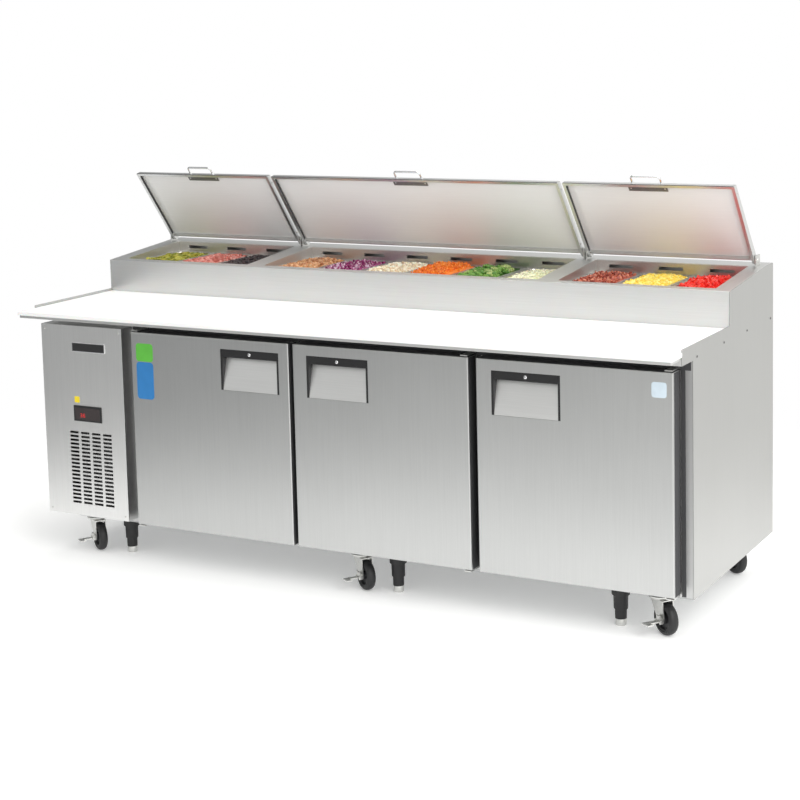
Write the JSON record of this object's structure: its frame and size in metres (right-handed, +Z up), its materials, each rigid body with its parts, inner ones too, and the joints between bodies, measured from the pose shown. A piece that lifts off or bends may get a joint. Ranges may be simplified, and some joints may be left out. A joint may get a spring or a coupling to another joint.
{
  "type": "refrigerated sandwich prep table",
  "caption": "Refrigerated prep table: insulated cabinet on casters with swing doors, a full-width cutting board and a raised rail of food pans under tilting lids.",
  "frame": {"origin": "on the floor under the middle of the table", "axes": "+X to the right along the table's length, +Y to the back, +Z up"},
  "size_m": [2.365, 0.97, 1.3361],
  "materials": {
    "stainless_shell": "satin brushed stainless steel",
    "stainless_door": "satin brushed stainless steel",
    "galvanised": "dull galvanised sheet",
    "liner": "smooth satin aluminium lining",
    "board": "white polyethylene",
    "pan_steel": "satin stainless steel",
    "black_plastic": "black moulded plastic",
    "gasket": "soft dark rubber",
    "chrome": "polished rod",
    "zinc": "zinc plated steel",
    "wheel": "black moulded wheel with a hard rubber tread",
    "display": "dark display window",
    "machine_black": "black paint",
    "coil": "finned aluminium"
  },
  "bodies": {
    "cabinet": {"side_panel_left": "stainless_shell", "side_panel_right": "stainless_shell", "base_pan": "galvanised", "back_panel": "galvanised", "front_frame": "stainless_shell", "cabinet_liner": "liner", "worktop": "stainless_shell", "pan_rail_housing": "stainless_shell", "air_duct_cover": "pan_steel", "pan_divider_bars": "pan_steel", "hinge_brackets": "zinc", "compressor_panel": "stainless_shell", "controller": "display", "compressor": "machine_black", "condenser_coil": "coil", "evaporator_unit": "liner", "wire_shelves": "zinc", "leg_bodies": "black_plastic"},
    "board": {"cutting_board": "board"},
    "fan": {"condenser_fan": "black_plastic"},
    "door_1": {"door_1_panel": "stainless_door", "door_1_handle": "black_plastic", "door_1_gasket": "gasket", "door_1_liner": "liner"},
    "door_2": {"door_2_panel": "stainless_door", "door_2_handle": "black_plastic", "door_2_gasket": "gasket", "door_2_liner": "liner"},
    "door_3": {"door_3_panel": "stainless_door", "door_3_handle": "black_plastic", "door_3_gasket": "gasket", "door_3_liner": "liner"},
    "lid_1": {"lid_1_shell": "stainless_shell", "lid_1_handle": "chrome"},
    "pans_1": {"pans_bay_1": "pan_steel"},
    "foot_1": {"leg_1_foot": "zinc"},
    "lid_2": {"lid_2_shell": "stainless_shell", "lid_2_handle": "chrome"},
    "pans_2": {"pans_bay_2_left": "pan_steel", "pans_bay_2_right": "pan_steel"},
    "foot_2": {"leg_2_foot": "zinc"},
    "lid_3": {"lid_3_shell": "stainless_shell", "lid_3_handle": "chrome"},
    "pans_3": {"pans_bay_3": "pan_steel"},
    "foot_3": {"leg_3_foot": "zinc"},
    "caster_front_left_fork": {"caster_front_left_fork": "zinc"},
    "caster_front_left_wheel": {"caster_front_left_wheel": "wheel"},
    "caster_front_left_brake": {"caster_front_left_brake": "zinc"},
    "caster_front_mid_fork": {"caster_front_mid_fork": "zinc"},
    "caster_front_mid_wheel": {"caster_front_mid_wheel": "wheel"},
    "caster_front_mid_brake": {"caster_front_mid_brake": "zinc"},
    "caster_front_right_fork": {"caster_front_right_fork": "zinc"},
    "caster_front_right_wheel": {"caster_front_right_wheel": "wheel"},
    "caster_front_right_brake": {"caster_front_right_brake": "zinc"},
    "caster_rear_left_fork": {"caster_rear_left_fork": "zinc"},
    "caster_rear_left_wheel": {"caster_rear_left_wheel": "wheel"},
    "caster_rear_mid_fork": {"caster_rear_mid_fork": "zinc"},
    "caster_rear_mid_wheel": {"caster_rear_mid_wheel": "wheel"},
    "caster_rear_right_fork": {"caster_rear_right_fork": "zinc"},
    "caster_rear_right_wheel": {"caster_rear_right_wheel": "wheel"}
  },
  "joints": [
    {"name": "board_lift", "type": "slide", "parent": "cabinet", "child": "board", "axis": [0, 0, 1], "range_m": [0, 0.1]},
    {"name": "fan_spin", "type": "hinge", "parent": "cabinet", "child": "fan", "pos_m": [-1.005, -0.1485, 0.32], "axis": [0, 1, 0], "continuous": true},
    {"name": "door_1_hinge", "type": "hinge", "parent": "cabinet", "child": "door_1", "pos_m": [-0.779, -0.35, 0.481], "axis": [0, 0, -1], "range_deg": [0, 100]},
    {"name": "door_2_hinge", "type": "hinge", "parent": "cabinet", "child": "door_2", "pos_m": [0.471, -0.35, 0.481], "axis": [0, 0, 1], "range_deg": [0, 100]},
    {"name": "door_3_hinge", "type": "hinge", "parent": "cabinet", "child": "door_3", "pos_m": [1.129, -0.35, 0.481], "axis": [0, 0, 1], "range_deg": [0, 100]},
    {"name": "lid_1_hinge", "type": "hinge", "parent": "cabinet", "child": "lid_1", "pos_m": [-0.8605, 0.408, 1.046], "axis": [1, 0, 0], "range_deg": [0, 56]},
    {"name": "pans_1_lift", "type": "slide", "parent": "cabinet", "child": "pans_1", "axis": [0, 0, 1], "range_m": [0, 0.018]},
    {"name": "foot_1_screw", "type": "slide", "parent": "cabinet", "child": "foot_1", "axis": [0, 0, -1], "range_m": [0, 0.025]},
    {"name": "lid_2_hinge", "type": "hinge", "parent": "cabinet", "child": "lid_2", "pos_m": [0, 0.408, 1.046], "axis": [1, 0, 0], "range_deg": [0, 56]},
    {"name": "pans_2_lift", "type": "slide", "parent": "cabinet", "child": "pans_2", "axis": [0, 0, 1], "range_m": [0, 0.018]},
    {"name": "foot_2_screw", "type": "slide", "parent": "cabinet", "child": "foot_2", "axis": [0, 0, -1], "range_m": [0, 0.025]},
    {"name": "lid_3_hinge", "type": "hinge", "parent": "cabinet", "child": "lid_3", "pos_m": [0.8605, 0.408, 1.046], "axis": [1, 0, 0], "range_deg": [0, 56]},
    {"name": "pans_3_lift", "type": "slide", "parent": "cabinet", "child": "pans_3", "axis": [0, 0, 1], "range_m": [0, 0.018]},
    {"name": "foot_3_screw", "type": "slide", "parent": "cabinet", "child": "foot_3", "axis": [0, 0, -1], "range_m": [0, 0.025]},
    {"name": "caster_front_left_swivel", "type": "hinge", "parent": "cabinet", "child": "caster_front_left_fork", "pos_m": [-1.06, -0.255, 0.11], "axis": [0, 0, 1], "continuous": true},
    {"name": "caster_front_left_roll", "type": "hinge", "parent": "caster_front_left_fork", "child": "caster_front_left_wheel", "pos_m": [-1.03543, -0.27221, 0.05], "axis": [0.5736, 0.8192, 0], "continuous": true},
    {"name": "caster_front_left_brake_press", "type": "hinge", "parent": "caster_front_left_fork", "child": "caster_front_left_brake", "pos_m": [-1.05091, -0.29432, 0.046], "axis": [0.8192, -0.5736, 0], "range_deg": [0, 12]},
    {"name": "caster_front_mid_swivel", "type": "hinge", "parent": "cabinet", "child": "caster_front_mid_fork", "pos_m": [0.03, -0.255, 0.11], "axis": [0, 0, 1], "continuous": true},
    {"name": "caster_front_mid_roll", "type": "hinge", "parent": "caster_front_mid_fork", "child": "caster_front_mid_wheel", "pos_m": [0.05457, -0.27221, 0.05], "axis": [0.5736, 0.8192, 0], "continuous": true},
    {"name": "caster_front_mid_brake_press", "type": "hinge", "parent": "caster_front_mid_fork", "child": "caster_front_mid_brake", "pos_m": [0.03909, -0.29432, 0.046], "axis": [0.8192, -0.5736, 0], "range_deg": [0, 12]},
    {"name": "caster_front_right_swivel", "type": "hinge", "parent": "cabinet", "child": "caster_front_right_fork", "pos_m": [1.06, -0.255, 0.11], "axis": [0, 0, 1], "continuous": true},
    {"name": "caster_front_right_roll", "type": "hinge", "parent": "caster_front_right_fork", "child": "caster_front_right_wheel", "pos_m": [1.08458, -0.27221, 0.05], "axis": [0.5736, 0.8192, 0], "continuous": true},
    {"name": "caster_front_right_brake_press", "type": "hinge", "parent": "caster_front_right_fork", "child": "caster_front_right_brake", "pos_m": [1.06909, -0.29432, 0.046], "axis": [0.8192, -0.5736, 0], "range_deg": [0, 12]},
    {"name": "caster_rear_left_swivel", "type": "hinge", "parent": "cabinet", "child": "caster_rear_left_fork", "pos_m": [-1.06, 0.41, 0.11], "axis": [0, 0, 1], "continuous": true},
    {"name": "caster_rear_left_roll", "type": "hinge", "parent": "caster_rear_left_fork", "child": "caster_rear_left_wheel", "pos_m": [-1.03543, 0.39279, 0.05], "axis": [0.5736, 0.8192, 0], "continuous": true},
    {"name": "caster_rear_mid_swivel", "type": "hinge", "parent": "cabinet", "child": "caster_rear_mid_fork", "pos_m": [0.03, 0.41, 0.11], "axis": [0, 0, 1], "continuous": true},
    {"name": "caster_rear_mid_roll", "type": "hinge", "parent": "caster_rear_mid_fork", "child": "caster_rear_mid_wheel", "pos_m": [0.05457, 0.39279, 0.05], "axis": [0.5736, 0.8192, 0], "continuous": true},
    {"name": "caster_rear_right_swivel", "type": "hinge", "parent": "cabinet", "child": "caster_rear_right_fork", "pos_m": [1.06, 0.41, 0.11], "axis": [0, 0, 1], "continuous": true},
    {"name": "caster_rear_right_roll", "type": "hinge", "parent": "caster_rear_right_fork", "child": "caster_rear_right_wheel", "pos_m": [1.08458, 0.39279, 0.05], "axis": [0.5736, 0.8192, 0], "continuous": true}
  ]
}
